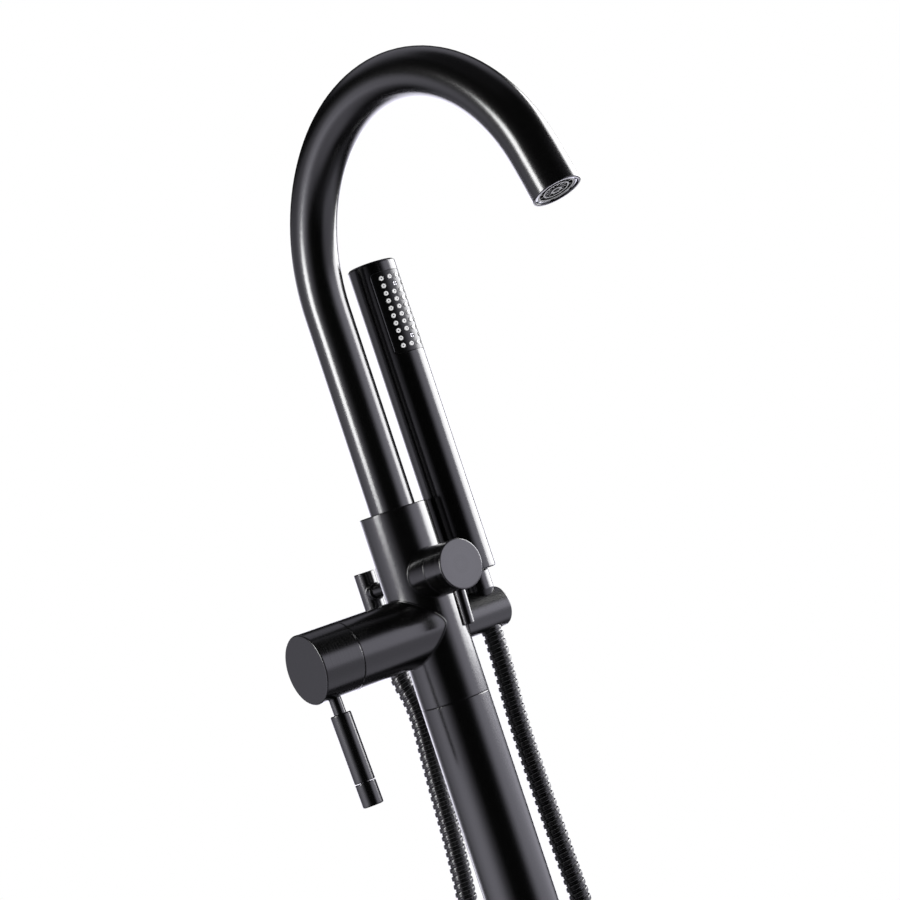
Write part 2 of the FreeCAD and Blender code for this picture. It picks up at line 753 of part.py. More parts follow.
def outlet_elbow():
    shoulder, thread_end, _ = outlet_levels()
    outer = elbow_d / 2
    thread = thread_d / 2
    top = outlet_height + elbow_above
    valve = check_valve_d / 2 + fit_gap
    body = turned([
        (elbow_bore / 2, shoulder), (elbow_bore / 2, top - 3.0), (0, top - 3.0), (0, top), (outer - edge, top),
        (outer, top - edge), (outer, shoulder + 1.0), (thread, shoulder - 1.0), (thread, thread_end),
        (valve, thread_end), (valve, shoulder - 2.0), (elbow_bore / 2, shoulder - 2.0)],
        point(0, outlet_reach, 0))
    boss_end = outlet_reach - outer - 1.6
    boss = tube(outlet_stem_d + 2.6, outlet_stem_d, point(0, boss_end, outlet_height), point(0, outlet_reach, outlet_height))
    boss = boss.cut(rod(elbow_d - 1.0, point(0, outlet_reach, shoulder), point(0, outlet_reach, top)))
    socket = rod(outlet_stem_d + 2 * fit_gap, point(0, 0, outlet_height), point(0, outlet_reach, outlet_height))
    return body.fuse(boss).cut(socket)


def check_valve():
    shoulder, thread_end, _ = outlet_levels()
    top = shoulder - 2.0 - fit_gap
    outer = check_valve_d / 2
    low = top - check_valve_length
    return turned([(2.0, low), (outer, low), (outer, top), (3.5, top), (3.5, top - 3.0), (2.0, top - 4.5)],
                  point(0, outlet_reach, 0))


def outlet_washer():
    _, thread_end, _ = outlet_levels()
    base = point(0, outlet_reach, 0)
    return tube(thread_d - 1.0, ferrule_bore + 1.0, base + UP * (thread_end - washer_t), base + UP * thread_end)


def outlet_ferrule():
    """Flanged end of the hose inside the outlet nut."""
    _, thread_end, nut_bottom = outlet_levels()
    top = thread_end - washer_t
    sleeve = ferrule_bore / 2 + ferrule_wall
    return turned([
        (ferrule_bore / 2, nut_bottom), (sleeve, nut_bottom), (sleeve, top - ferrule_flange_t),
        (ferrule_flange_d / 2, top - ferrule_flange_t), (ferrule_flange_d / 2, top), (ferrule_bore / 2, top)],
        point(0, outlet_reach, 0))


def outlet_hose_nut():
    _, thread_end, bottom = outlet_levels()
    outer = hose_nut_d / 2
    top = bottom + hose_nut_length
    ledge = thread_end - washer_t - ferrule_flange_t
    thread = thread_d / 2 + fit_gap
    sleeve = ferrule_bore / 2 + ferrule_wall + fit_gap
    nut = turned([
        (sleeve, bottom), (outer - 3.5, bottom), (outer, bottom + 5.0), (outer, top - edge), (outer - edge, top),
        (thread, top), (thread, ledge), (sleeve, ledge)], point(0, outlet_reach, 0))
    flat = Part.makeBox(4.0, 12.0, 7.0, point(outer - 1.2, outlet_reach - 6.0, top - 8.5))
    return nut.cut(spun(flat, 6, 0.0, point(0, outlet_reach, 0)))


# ---- holder and handset ----
def cone_outline(extra):
    """Outside of the cone nut as (radius, height), grown by extra."""
    steps = [(cone_bottom_d, cone_bottom_drop), (cone_seat_d, cone_seat_drop),
             (cone_waist_d, cone_waist_drop), (cone_top_d, cone_top_drop)]
    return [(d / 2 + extra, collar_height - drop) for d, drop in steps]


def handset_holder():
    bar = turned([
        (0, 0), (holder_d / 2, 0), (holder_d / 2, holder_reach - 1.0),
        ((holder_d / 2 - 0.3, holder_reach - 0.3), (holder_d / 2 - 1.0, holder_reach)), (0, holder_reach)],
        point(0, 0, holder_height), OUT_HOLDER)
    column = rod(column_d + 2 * fit_gap, point(0, 0, holder_height - holder_d), point(0, 0, holder_height + holder_d))
    low = holder_height - holder_d
    high = holder_height + holder_d
    cone = cone_outline(seat_gap)
    seat = turned([(0, low), (cone[0][0], low)] + cone[:3] + [(cone[2][0], high), (0, high)], handset_axis)
    slot = Part.makeBox(hose_slot, holder_d, high - low, point(handset_reach - hose_slot / 2, 0, low))
    stud = rod(holder_stud_d + 2 * fit_gap, point(0, 0, holder_height), point(holder_stud_outer(), 0, holder_height))
    return bar.cut([column, seat, slot, stud])


def holder_stud_outer():
    return handset_reach - cone_waist_d / 2 - 1.5


def holder_stud():
    return rod(holder_stud_d, point(holder_stud_inner() + fit_gap, 0, holder_height),
               point(holder_stud_outer() - fit_gap, 0, holder_height))


def cone_nut_levels():
    """Heights inside the cone nut: inlet end, ferrule flange top and bottom, nut bottom."""
    inlet_end = collar_height - handset_bottom_drop - inlet_length
    flange_top = inlet_end - washer_t
    flange_bottom = flange_top - ferrule_flange_t
    return inlet_end, flange_top, flange_bottom, collar_height - cone_bottom_drop


def cone_nut():
    _, _, flange_bottom, bottom = cone_nut_levels()
    outside = cone_outline(0.0)
    top = outside[3][1]
    wide = inlet_d / 2 + run_gap
    sleeve = ferrule_bore / 2 + ferrule_wall + run_gap
    ledge = flange_bottom - run_gap
    outline = [(sleeve, bottom)] + outside[:3] + [(outside[3][0], top - edge), (outside[3][0] - edge, top)]
    outline += [(wide, top), (wide, ledge), (sleeve, ledge)]
    return turned(outline, handset_axis)


def handset_washer():
    inlet_end, flange_top, _, _ = cone_nut_levels()
    return tube(inlet_d - 1.0, ferrule_bore + 1.0, handset_axis + UP * (flange_top + run_gap), handset_axis + UP * inlet_end)


def hose_ferrule():
    """Flanged end of the hose, which turns inside the cone nut."""
    _, flange_top, flange_bottom, bottom = cone_nut_levels()
    sleeve = ferrule_bore / 2 + ferrule_wall
    flange = inlet_d / 2 - fit_gap
    return turned([
        (ferrule_bore / 2, bottom), (sleeve, bottom), (sleeve, flange_bottom), (flange, flange_bottom),
        (flange, flange_top), (ferrule_bore / 2, flange_top)], handset_axis)


def handset_inlet():
    """Threaded insert in the handset's lower end."""
    end = collar_height - handset_bottom_drop - inlet_length
    floor = collar_height - handset_bottom_drop + handset_bottom_t
    outer = inlet_d / 2
    flange = handset_d / 2 - handset_wall - 1.0
    return turned([
        (5.0, end), (outer - edge, end), (outer, end + edge), (outer, floor), (flange, floor),
        (flange, floor + 3.0), (5.0, floor + 3.0)], handset_axis)


def facing_block(width, height, corner, near, far, middle):
    """Block with rounded corners that faces -Y, between distances near and far, centred at height middle."""
    half_w, half_h = width / 2, height / 2
    plane = Part.makeBox(width, far - near, height, point(-half_w, -far, middle - half_h))
    uprights = [e for e in plane.Edges
                if abs(e.Vertexes[0].Point.y - e.Vertexes[1].Point.y) > (far - near) / 2]
    return plane.makeFillet(corner, uprights)


def plate_middle():
    return collar_height + handset_top - plate_below_top - plate_height / 2


def nozzle_places():
    """(height, angle) of each nozzle on the spray plate."""
    places = []
    for row in range(1, nozzle_rows + 1):
        height = plate_middle() + ((nozzle_rows + 1) / 2 - row) * nozzle_pitch
        for column in range(nozzle_columns):
            angle = (column - (nozzle_columns - 1) / 2) * nozzle_angle
            inner = abs(angle) < nozzle_angle
            if not (row in screw_rows and inner):
                places.append((height, angle))
    return places


def screw_heights():
    return [plate_middle() + ((nozzle_rows + 1) / 2 - row) * nozzle_pitch for row in screw_rows]


def on_face(shape, height, angle):
    """Turns a shape made along +Z to point out of the spray face at a height and angle."""
    out = FreeCAD.Rotation(UP, angle).multVec(OUT_KNOB)
    return placed(shape, point(0, 0, height), out)


def hung(shape):
    """Moves a handset piece from the origin's axis to the holder, with the spray face turned."""
    moved = shape.copy()
    moved.rotate(Vec(0, 0, 0), UP, spray_turn)
    moved.translate(handset_axis)
    return moved


def handset_body():
    outer = handset_d / 2
    bore = outer - handset_wall
    low = collar_height - handset_bottom_drop
    high = collar_height + handset_top
    body = turned([
        (inlet_d / 2 + fit_gap, low), (outer - edge, low), (outer, low + edge), (outer, high - handset_edge),
        (outer - handset_edge, high), (0, high), (0, high - 4.0), (bore, high - 4.0),
        (bore, low + handset_bottom_t), (inlet_d / 2 + fit_gap, low + handset_bottom_t)])
    middle = plate_middle()
    pocket = facing_block(plate_width + 2 * plate_gap, plate_height + 2 * plate_gap,
                          plate_corner + plate_gap, 0.5, outer + 1, middle)
    pocket = pocket.cut(rod(2 * (outer - plate_t), point(0, 0, low), point(0, 0, high)))
    window = facing_block(plate_width - 2 * mat_margin + 2 * plate_gap, plate_height - 2 * mat_margin + 2 * plate_gap,
                          plate_corner, 1.0, outer + 1, middle)
    body = body.cut([pocket, window])
    posts = []
    for height in screw_heights():
        front = outer - plate_t - mat_t - plate_gap
        post = rod(plate_screw_head_d + 2.0, point(0, -front, height), point(0, bore + 0.5, height))
        posts.append(post.cut(rod(plate_screw_d, point(0, -front, height), point(0, -front + 6.0, height))))
    return hung(body.fuse(posts))


def spray_plate():
    outer = handset_d / 2
    middle = plate_middle()
    low, high = point(0, 0, middle - plate_height), point(0, 0, middle + plate_height)
    plate = tube(handset_d, handset_d - 2 * plate_t, low, high)
    plate = plate.common(facing_block(plate_width, plate_height, plate_corner, 0.5, outer + 1, middle))
    hole = rod(nozzle_d + 2 * plate_gap, point(0, 0, outer / 2), point(0, 0, outer + 1))
    screw = rod(plate_screw_head_d + 2 * plate_gap, point(0, 0, outer / 2), point(0, 0, outer + 1))
    holes = [on_face(hole, height, angle) for height, angle in nozzle_places()]
    holes += [on_face(screw, height, 0.0) for height in screw_heights()]
    return hung(plate.cut(holes))


def spray_nozzles():
    """Soft mat behind the plate, with a nozzle through each of the plate's holes."""
    middle = plate_middle()
    outer = handset_d / 2 - plate_t
    low, high = point(0, 0, middle - plate_height), point(0, 0, middle + plate_height)
    mat = tube(2 * outer, 2 * (outer - mat_t), low, high)
    mat = mat.common(facing_block(plate_width - 2 * mat_margin, plate_height - 2 * mat_margin,
                                  plate_corner, 0.5, outer + 1, middle))
    tip = handset_d / 2 + nozzle_stand
    root = outer - mat_t / 2
    nozzle = turned([(0, root), (nozzle_d / 2, root), (nozzle_d / 2, tip - 0.4), (nozzle_tip_d / 2, tip), (0, tip)])
    bore = rod(nozzle_hole_d, point(0, 0, tip - 1.2), point(0, 0, tip))
    nozzle = nozzle.cut(bore)
    screw = rod(plate_screw_head_d + 2 * plate_gap, point(0, 0, outer / 2), point(0, 0, outer + 1))
    mat = mat.cut([on_face(screw, height, 0.0) for height in screw_heights()])
    return hung(mat.fuse([on_face(nozzle, height, angle) for height, angle in nozzle_places()]))


def crossed(slot):
    """A slot and the same slot turned a quarter, for a cross recess."""
    other = slot.copy()
    other.rotate(Vec(0, 0, 0), UP, 90)
    return slot.fuse(other)


def plate_screws():
    outer = handset_d / 2
    head = plate_screw_head_d / 2
    shank = plate_screw_d / 2 - fit_gap
    under = outer - plate_t - mat_t - plate_gap
    screw = turned([(0, under - 5.0), (shank, under - 5.0), (shank, under), (head, under), (head, outer - edge),
                    (head - 0.3, outer - edge + 0.3), (0, outer - edge + 0.3)])
    reach = 0.8 * head
    face = outer - edge + 0.3
    slot = Part.makeBox(2 * reach, cross_slot, 2 * cross_depth, point(-reach, -cross_slot / 2, face - cross_depth))
    screw = screw.cut(crossed(slot))
    return Part.makeCompound([hung(on_face(screw, height, 0.0)) for height in screw_heights()])


# ---- shower hose ----
def route_pieces(corners):
    """Straight runs and the tangent arcs that round the route's corners."""
    points = [Vec(*corner) for corner in corners]
    pieces = []
    radii = []
    last = points[0]
    for before, corner, after in zip(points, points[1:], points[2:]):
        into = (corner - before).normalize()
        away = (after - corner).normalize()
        turn = into.getAngle(away)
        back = 0.45 * min((corner - before).Length, (after - corner).Length)
        radius = back / math.tan(turn / 2)
        radii.append(radius)
        start, end = corner - into * back, corner + away * back
        across = (away - into * into.dot(away)).normalize()
        pieces.append(("run", last, start))
        pieces.append(("arc", start, into, across, radius, turn))
        last = end
    pieces.append(("run", last, points[-1]))
    return pieces, radii


def piece_length(piece):
    if piece[0] == "run":
        return (piece[2] - piece[1]).Length
    return piece[4] * piece[5]


def place_on(piece, distance):
    """Point and direction at a distance along one run or arc."""
    if piece[0] == "run":
        direction = (piece[2] - piece[1]).normalize()
        return piece[1] + direction * distance, direction
    _, start, into, across, radius, turn = piece
    angle = distance / radius
    where = start + into * (radius * math.sin(angle)) + across * (radius * (1 - math.cos(angle)))
    return where, into * math.cos(angle) + across * math.sin(angle)


def place_along(pieces, distance):
    for piece in pieces:
        length = piece_length(piece)
        if distance <= length or piece is pieces[-1]:
            return place_on(piece, distance)
        distance -= length


def route_edge(piece):
    if piece[0] == "run":
        return Part.makeLine(piece[1], piece[2])
    length = piece_length(piece)
    middle = place_on(piece, length / 2)[0]
    return Part.Arc(piece[1], middle, place_on(piece, length)[0]).toShape()


def section_ring(where, direction, steady, diameter):
    """Circle across the route, its start on a steady side so that the ribs don't twist."""
    side = steady - direction * steady.dot(direction)
    turn = FreeCAD.Rotation(side.normalize(), direction.cross(side), direction, "ZXY")
    circle = Part.makeCircle(diameter / 2)
    circle.Placement = FreeCAD.Placement(where, turn)
    return Part.Wire([circle])


def shower_hose():
    pieces, radii = route_pieces(hose_route)
    length = sum(piece_length(piece) for piece in pieces)
    across = Vec(*hose_route[8]) - Vec(*hose_route[9])
    steady = across.cross(UP).normalize()
    pitch = (length - 2 * hose_end_plain) / hose_ribs
    stations = [(0.0, hose_d)]
    for rib in range(hose_ribs):
        start = hose_end_plain + rib * pitch
        stations.append((start, hose_d))
        stations.append((start + 0.06 * pitch, hose_valley_d))
        stations.append((start + 0.24 * pitch, hose_valley_d))
        stations.append((start + 0.30 * pitch, hose_d))
    stations.append((length - hose_end_plain, hose_d))
    stations.append((length, hose_d))
    rings = []
    for distance, diameter in stations:
        where, direction = place_along(pieces, distance)
        rings.append(section_ring(where, direction, steady, diameter))
    outside = Part.makeLoft(rings, True, True)
    path = Part.Wire([route_edge(piece) for piece in pieces])
    mouth = section_ring(Vec(*hose_route[0]), Vec(0, 0, -1), steady, hose_bore)
    bore = path.makePipeShell([mouth], True, False)
    hose = outside.cut(bore)
    bore_volume = math.pi * hose_bore ** 2 / 4 * length
    print("hose length", round(length, 1), "smallest radius", round(min(radii), 1))
    print("hose radii", [round(radius) for radius in radii])
    print("hose bore volume", round(bore.Volume), "expected", round(bore_volume))
    print("hose volume", round(hose.Volume), "outside less bore", round(outside.Volume - bore_volume))
    return hose


# ---- the whole filler ----
nodes["floor_flange"] = floor_flange()
nodes["flange_cover"] = flange_cover()
nodes["column_screws"] = column_screws()
nodes["column_tube"] = column_tube()
nodes["hot_pipe"] = supply_pipe(1)
nodes["cold_pipe"] = supply_pipe(-1)
nodes["pipe_o_rings"] = pipe_o_rings()
nodes["mixer_body"] = mixer_body()
cartridge("mixing", mixing_cartridge_d, mixing_cartridge_length, mixing_spindle_d, mixing_nut_d,
          mixing_nut_length, lever_at + 4.0 - mixing_seat, point(-mixing_seat, 0, lever_height), OUT_LEVER)
cartridge("diverter", diverter_cartridge_d, diverter_cartridge_length, diverter_spindle_d, diverter_nut_d,
          diverter_nut_length, pin_at + 3.5 - diverter_seat, point(0, -diverter_seat, knob_height), OUT_KNOB)
nodes["handle_hub"] = handle_hub()
nodes["lever_stem"] = lever_stem()
nodes["lever_grip"] = lever_grip()
nodes["lever_end_cap"] = lever_end_cap()
nodes["diverter_knob"] = diverter_knob()
nodes["diverter_pin"] = diverter_pin()
nodes["spout_tube"] = spout_tube()
nodes["spout_foot"] = spout_foot()
nodes["spout_o_rings"] = spout_o_rings()
nodes["swivel_washer"] = swivel_washer()
nodes["spout_screw"] = spout_screw()
outlet_centre, outlet_heading = spout_end()
nodes["aerator_housing"] = placed(aerator_housing(), outlet_centre, outlet_heading)
nodes["aerator_insert"] = placed(aerator_insert(), outlet_centre, outlet_heading)
nodes["aerator_washer"] = placed(aerator_washer(), outlet_centre, outlet_heading)
nodes["outlet_stem"] = outlet_stem()
nodes["outlet_elbow"] = outlet_elbow()
nodes["check_valve"] = check_valve()
nodes["outlet_washer"] = outlet_washer()
nodes["outlet_ferrule"] = outlet_ferrule()
nodes["outlet_hose_nut"] = outlet_hose_nut()
nodes["handset_holder"] = handset_holder()
nodes["holder_stud"] = holder_stud()
nodes["hose_cone_nut"] = cone_nut()
nodes["handset_washer"] = handset_washer()
nodes["hose_ferrule"] = hose_ferrule()
nodes["handset_inlet"] = handset_inlet()
nodes["handset_body"] = handset_body()
nodes["spray_plate"] = spray_plate()
nodes["spray_nozzles"] = spray_nozzles()
nodes["plate_screws"] = plate_screws()
nodes["shower_hose"] = shower_hose()

os.makedirs("parts", exist_ok=True)
for name, shape in nodes.items():
    print(name, len(shape.Solids), "solid(s)", round(shape.Volume / 1000, 2), "cm3", "valid", shape.isValid())
    shape.exportStep("parts/" + name + ".step")
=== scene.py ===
import json
import math

import bmesh
import bpy
from mathutils import Matrix, Vector


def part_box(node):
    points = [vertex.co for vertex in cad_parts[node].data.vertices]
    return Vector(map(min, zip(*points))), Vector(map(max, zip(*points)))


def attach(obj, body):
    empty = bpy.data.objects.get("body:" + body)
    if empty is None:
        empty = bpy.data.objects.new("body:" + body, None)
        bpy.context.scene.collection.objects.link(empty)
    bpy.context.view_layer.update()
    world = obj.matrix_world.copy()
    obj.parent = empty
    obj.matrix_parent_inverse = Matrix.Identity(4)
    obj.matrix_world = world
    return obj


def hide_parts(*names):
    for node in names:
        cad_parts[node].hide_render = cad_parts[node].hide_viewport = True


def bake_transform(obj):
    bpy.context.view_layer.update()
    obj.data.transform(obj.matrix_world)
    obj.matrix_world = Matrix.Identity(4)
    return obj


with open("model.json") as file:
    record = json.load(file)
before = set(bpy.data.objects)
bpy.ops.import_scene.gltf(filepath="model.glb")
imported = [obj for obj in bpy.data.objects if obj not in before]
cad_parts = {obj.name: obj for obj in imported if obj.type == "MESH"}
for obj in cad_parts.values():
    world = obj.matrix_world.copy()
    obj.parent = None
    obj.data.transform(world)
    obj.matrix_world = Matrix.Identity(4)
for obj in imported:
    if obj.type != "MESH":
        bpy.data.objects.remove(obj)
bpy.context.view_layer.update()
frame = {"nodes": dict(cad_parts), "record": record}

# A floor standing bath filler in satin black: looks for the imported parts. Metres, in the frame of the parts:
# the origin is on the floor under the column, +Z is up, the bath lies towards -Y.

UP = Vector((0, 0, 1))

# ---- joints between the turned parts of the mixer body ----
COLUMN_R = 0.0225
COLLAR_HEIGHT = 0.858                  # top of the mixer body
BOSS_R = 0.01595                       # round boss under the diverter knob
BOSS_HEIGHT = COLLAR_HEIGHT - 0.0453
ARM_R = 0.0222                         # round arm that carries the lever
ARM_HEIGHT = COLLAR_HEIGHT - 0.0771
# name, radius and height of what meets the barrel, the way it points, the level way across it
JOINTS = [
    ("boss_joint", BOSS_R, BOSS_HEIGHT, Vector((0, -1, 0)), Vector((1, 0, 0))),
    ("arm_joint", ARM_R, ARM_HEIGHT, Vector((-1, 0, 0)), Vector((0, 1, 0))),
]
BEAD_R = 0.0006
BEAD_SIDES = 10
BEAD_PLACES = 120                      # places along each bead

# ---- shower hose ----
HOSE_D = 0.014
HOSE_PITCH = 0.0054                    # one turn of the wound strip
HOSE_PLAIN = 0.003                     # smooth band at each end
HOSE_SIDES = 30
HOSE_PATH_STEP = 0.002                 # between the points of its declared path
HOSE_STEP = 0.001                      # between the centres that its rings stand on
HOSE_SHARP = math.radians(28.0)        # edges that bend by more stay sharp
HOSE_WELD = 0.000004                   # corners closer than this become one
HOSE_DIGITS = 7                        # decimals that tell the corners of a face apart
HOSE_ACROSS = Vector((0.62, -0.78, 0)).normalized()   # from the outlet's leg to the handset's leg
# one turn's outline, a wide band with fine lines and a narrow one in the groove: share of the pitch, depth,
# and how much painted highlight lies there, greyer colour standing in for the light that the band's shoulders
# catch
HOSE_TURN = [
    (0.00, 0.00125, 0.0), (0.03, 0.0006, 0.1), (0.06, 0.00026, 1.0), (0.10, 0.00011, 0.5),
    (0.15, 0.00004, 0.0), (0.19, 0.00010, 0.0), (0.23, 0.00003, 0.2), (0.29, 0.0, 0.0),
    (0.335, 0.00007, 0.0), (0.38, 0.0, 0.2), (0.44, 0.00003, 0.0), (0.48, 0.00010, 0.0),
    (0.52, 0.00004, 0.0), (0.57, 0.00011, 0.3), (0.61, 0.00026, 0.7), (0.64, 0.0006, 0.1),
    (0.67, 0.00125, 0.0), (0.71, 0.00125, 0.0), (0.75, 0.001, 0.0), (0.83, 0.00092, 0.1),
    (0.91, 0.001, 0.0), (0.96, 0.00125, 0.0),
]
# from the handset's nut down, through the loop beside and behind the column, and up to the outlet's nut
HOSE_ROUTE = [
    (0.0438, 0.0, 0.768),
    (0.0438, 0.0, 0.742),
    (0.0422, 0.0023, 0.706),
    (0.0426, 0.0014, 0.636),
    (0.0465, 0.0005, 0.522),
    (0.0565, -0.0095, 0.385),
    (0.063, -0.017, 0.250),
    (0.065, -0.0205, 0.125),
    (0.0315, 0.0215, 0.070),
    (-0.0115, 0.0765, 0.071),
    (-0.044, 0.1175, 0.126),
    (-0.0405, 0.1115, 0.254),
    (-0.026, 0.0905, 0.396),
    (-0.0085, 0.0665, 0.520),
    (0.0, 0.0559, 0.618),
    (0.0022, 0.0538, 0.688),
    (0.005, 0.0519, 0.7307),
    (0.0, 0.0553, 0.756),
    (0.0, 0.0553, 0.782),
]

# ---- finishes ----
COAT_WORN = 0.0011                     # radius that the coat rounds off along edges
BEVEL_SAMPLES = 8
OPEN_SKY_SAMPLES = 8
NOISE_SPREAD = (0.3, 0.7)              # where most of a noise's values lie
PEEL_SHARE = 2.0                       # depth of the coat's orange peel against that of its grain
BRUSHED_SHEEN = (0.8, 1.35)            # least and most roughness, as shares of the material's
MOULDED_SHEEN = (0.85, 1.2)
MOULDED_TONE = (0.9, 1.06)             # darkest and lightest colour, as shares of the material's
# pieces with a satin coat of their own: the material's name, roughness from and to, specular level
OWN_COATS = {
    "handset_holder": ("holder_black", (0.27, 0.33), 1.3),
    "handset_body": ("handset_black", (0.165, 0.205), 0.78),
}
# turned pieces whose rings show through the coat: axis, specular level
TURNED_PIECES = {"diverter_knob": ("Y", 1.3), "handle_hub": ("X", 0.82)}

# ---- camera, as the photograph was taken ----
CAMERA_AT = Vector((-0.78366, -1.15914, 0.8308))
CAMERA_AZIMUTH = math.radians(34.06)   # how far round to the left the camera stands
CAMERA_PAN = math.radians(1.91)        # to the right of the column's axis
CAMERA_TILT = math.radians(2.13)       # upwards
CAMERA_ROLL = math.radians(18.36)
CAMERA_SIDE = Vector((math.cos(CAMERA_AZIMUTH), -math.sin(CAMERA_AZIMUTH), 0))   # level, to its right
CAMERA_AHEAD = Vector((math.sin(CAMERA_AZIMUTH), math.cos(CAMERA_AZIMUTH), 0))   # level, to the column
PHOTO_SIZE = 900.0                     # pixels
PHOTO_FOCAL = 2200.0                   # pixels

# ---- studio ----
FULL_TURN = 360.0
FLOOR_R = 2.4
FLOOR_FADE = (0.35, 1.3)               # from the column, where the floor turns into the white backdrop
PLAIN_LIGHT = 0.75                     # on matt surfaces, from all round
GLOSS_TINT = (1.02, 1.0, 1.15)         # the faint violet of the photograph's highlights
STUDIO_DARK = 0.001                    # where no patch lies
# What gloss mirrors, in patches. Degrees across are counted from behind the camera to the photographer's
# right, so that 180 is behind the column, and degrees of height from the level.
# across: middle, full to, gone at; height: fades in from and to, fades out from and to; strength
STUDIO = [
    (-70.0, 4.0, 58.0, (-30.0, -4.0), (-4.0, 18.0), 1.35),        # left softbox
    (-80.0, 12.0, 50.0, (-78.0, -45.0), (-14.0, -6.0), 0.65),     # below it
    (-124.0, 12.0, 32.0, (-16.0, -6.0), (12.0, 24.0), 0.3),       # beyond it
    (98.0, 28.0, 60.0, (-20.0, -8.0), (16.0, 28.0), 1.55),        # right softbox
    (88.0, 20.0, 60.0, (-80.0, -50.0), (-18.0, -8.0), 0.62),      # below it
    (-172.0, 14.0, 38.0, (-38.0, -20.0), (4.0, 14.0), 2.7),       # bright wall behind the column
    (176.0, 34.0, 84.0, (32.0, 44.0), (58.0, 72.0), 0.38),        # high up behind the column
    (90.0, 40.0, 110.0, (-91.0, -89.0), (-62.0, -50.0), 0.12),    # floor at the right
    (180.0, 180.0, 190.0, (-91.0, -89.0), (-55.0, -40.0), 0.06),  # floor all round
    (180.0, 180.0, 190.0, (55.0, 70.0), (90.0, 91.0), 0.03),      # ceiling
]
# name, degrees round to the photographer's right, distance from the column, height, size, watts
LAMPS = [
    ("left_box", -61.0, 1.3, 1.27, (0.42, 0.74), 15.0),
    ("right_box", 118.0, 1.05, 1.17, (0.90, 0.92), 20.0),
]


# ---- camera ----
def camera_axes():
    """Right, up and forward of the camera, in the frame of the parts."""
    level = CAMERA_SIDE * math.sin(CAMERA_PAN) + CAMERA_AHEAD * math.cos(CAMERA_PAN)
    forward = level * math.cos(CAMERA_TILT) + UP * math.sin(CAMERA_TILT)
    right = forward.cross(UP).normalized()
    up = right.cross(forward)
    rolled_up = up * math.cos(CAMERA_ROLL) + right * math.sin(CAMERA_ROLL)
    rolled_right = right * math.cos(CAMERA_ROLL) - up * math.sin(CAMERA_ROLL)
    return rolled_right, rolled_up, forward


def add_camera():
    data = bpy.data.cameras.new("photo_camera")
    data.sensor_width = 36.0
    data.sensor_fit = "HORIZONTAL"
    data.lens = data.sensor_width * PHOTO_FOCAL / PHOTO_SIZE
    data.clip_start = 0.01
    camera = bpy.data.objects.new("photo_camera", data)
    right, up, forward = camera_axes()
    turn = Matrix((right, up, -forward)).transposed().to_4x4()
    camera.matrix_world = Matrix.Translation(CAMERA_AT) @ turn
    bpy.context.scene.collection.objects.link(camera)
    bpy.context.scene.camera = camera


# ---- node helpers ----
def feed(tree, socket, value):
    """Links an output to the socket, or sets the socket to a constant."""
    if isinstance(value, bpy.types.NodeSocket):
        tree.links.new(value, socket)
    else:
        socket.default_value = value


def node(tree, kind, sockets=None, **settings):
    """A node with these settings, whose sockets are fed as named or numbered."""
    made = tree.nodes.new(kind)
    for name, value in settings.items():
        setattr(made, name, value)
    for key, value in (sockets or {}).items():
        feed(tree, made.inputs[key], value)
    return made


def maths(tree, operation, first, second=None):
    sockets = {0: first} if second is None else {0: first, 1: second}
    return node(tree, "ShaderNodeMath", sockets, operation=operation).outputs["Value"]


def ramp(tree, source, low, high, out_low, out_high):
    """Maps a value smoothly between two limits."""
    sockets = {"Value": source, "From Min": low, "From Max": high, "To Min": out_low, "To Max": out_high}
    return node(tree, "ShaderNodeMapRange", sockets, interpolation_type="SMOOTHSTEP").outputs["Result"]


def place_on_object(tree):
    return node(tree, "ShaderNodeTexCoord").outputs["Object"]


def noise(tree, scale, detail=2.0, roughness=0.5, stretch=(1.0, 1.0, 1.0)):
    place = node(tree, "ShaderNodeMapping", {"Vector": place_on_object(tree), "Scale": stretch})
    sockets = {"Vector": place.outputs["Vector"], "Scale": scale, "Detail": detail, "Roughness": roughness}
    return node(tree, "ShaderNodeTexNoise", sockets).outputs["Fac"]


def mix_colours(tree, share, first, second):
    sockets = {"Factor": share, "A": (*first, 1.0), "B": (*second, 1.0)}
    return node(tree, "ShaderNodeMix", sockets, data_type="RGBA").outputs["Result"]


def mix_shaders(tree, share, first, second):
    return node(tree, "ShaderNodeMixShader", {"Fac": share, 1: first, 2: second}).outputs["Shader"]


def background(tree, color, strength):
    sockets = {"Color": (*color, 1.0), "Strength": strength}
    return node(tree, "ShaderNodeBackground", sockets).outputs["Background"]


# ---- materials ----
def base_material(name, color, roughness, metallic=0.0, specular=0.5):
    material = bpy.data.materials.new(name)
    material.use_nodes = True
    tree = material.node_tree
    shader = tree.nodes["Principled BSDF"]
    shader.inputs["Base Color"].default_value = (*color, 1.0)
    shader.inputs["Roughness"].default_value = roughness
    shader.inputs["Metallic"].default_value = metallic
    shader.inputs["Specular IOR Level"].default_value = specular
    return material, tree, shader


def vary_roughness(tree, shader, source, low, high):
    feed(tree, shader.inputs["Roughness"], ramp(tree, source, *NOISE_SPREAD, low, high))


def vary_colour(tree, shader, source, dark, light):
    share = ramp(tree, source, *NOISE_SPREAD, 0.0, 1.0)
    feed(tree, shader.inputs["Base Color"], mix_colours(tree, share, dark, light))


def bump(tree, shader, source, depth, strength, wear_and_highlight=0.0):
    """Fine relief up to depth; worn is the radius that the finish rounds off along edges."""
    sockets = {"Height": source, "Distance": depth, "Strength": strength}
    if wear_and_highlight:
        rounded = node(tree, "ShaderNodeBevel", {"Radius": wear_and_highlight}, samples=BEVEL_SAMPLES)
        sockets["Normal"] = rounded.outputs["Normal"]
    feed(tree, shader.inputs["Normal"], node(tree, "ShaderNodeBump", sockets).outputs["Normal"])


